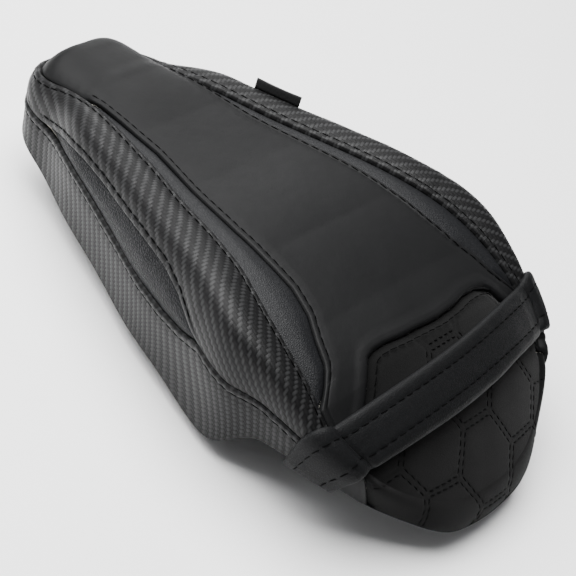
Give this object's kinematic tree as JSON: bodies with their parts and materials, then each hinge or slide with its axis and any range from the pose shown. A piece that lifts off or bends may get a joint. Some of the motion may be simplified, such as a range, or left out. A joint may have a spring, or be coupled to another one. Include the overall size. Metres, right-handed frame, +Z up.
{
  "type": "motorcycle pillion seat",
  "caption": "Padded pillion seat with a narrow tail, wide front, sloping quilted nose, sewn multi-panel cover and a grab strap across it.",
  "frame": {"origin": "centre of the seat's footprint, on the plane that the four rubber feet stand on", "axes": "+Y towards the nose (front), +X the seat's right side, +Z up"},
  "size_m": [0.2394, 0.3618, 0.0974],
  "materials": {
    "vinyl": "matte smooth vinyl",
    "grain_leather": "fine grain, satin",
    "carbon_vinyl": "embossed twill weave, semi-gloss",
    "suede": "quilted suede, matte",
    "strap_leather": "satin, stitched",
    "label": "woven, blank",
    "hem_vinyl": "turned-under cover edge",
    "foam": "moulded open-cell foam",
    "pan_plastic": "moulded polypropylene, fine texture",
    "foot_rubber": "moulded rubber",
    "zinc_steel": "zinc plated"
  },
  "bodies": {
    "seat": {"centre_panel": "vinyl", "wedge_left": "grain_leather", "wedge_right": "grain_leather", "carbon_band_left": "carbon_vinyl", "carbon_band_right": "carbon_vinyl", "grain_insert_left": "grain_leather", "grain_insert_right": "grain_leather", "carbon_skirt_left": "carbon_vinyl", "carbon_skirt_right": "carbon_vinyl", "nose_grip_panel": "suede", "loop_label": "label", "cover_hem": "hem_vinyl", "strap_leg_left": "strap_leather", "strap_leg_right": "strap_leather", "strap_plate_left": "zinc_steel", "strap_plate_right": "zinc_steel", "strap_bolt_left": "zinc_steel", "strap_bolt_right": "zinc_steel", "foam_cushion": "foam", "seat_pan": "pan_plastic", "foot_rear_left": "foot_rubber", "foot_rear_right": "foot_rubber", "foot_front_left": "foot_rubber", "foot_front_right": "foot_rubber", "striker_plate": "zinc_steel", "striker_loop": "zinc_steel", "striker_bolt_left": "zinc_steel", "striker_bolt_right": "zinc_steel", "front_tongue": "zinc_steel", "tongue_bolt_left": "zinc_steel", "tongue_bolt_right": "zinc_steel"},
    "strap_grip": {"strap_grip": "strap_leather"}
  },
  "joints": [
    {"name": "strap_lift", "type": "slide", "parent": "seat", "child": "strap_grip", "axis": [0, 0.5, 0.866], "range_m": [0, 0.012], "stiffness_N_per_m": 1500, "springref_m": -0.002}
  ]
}
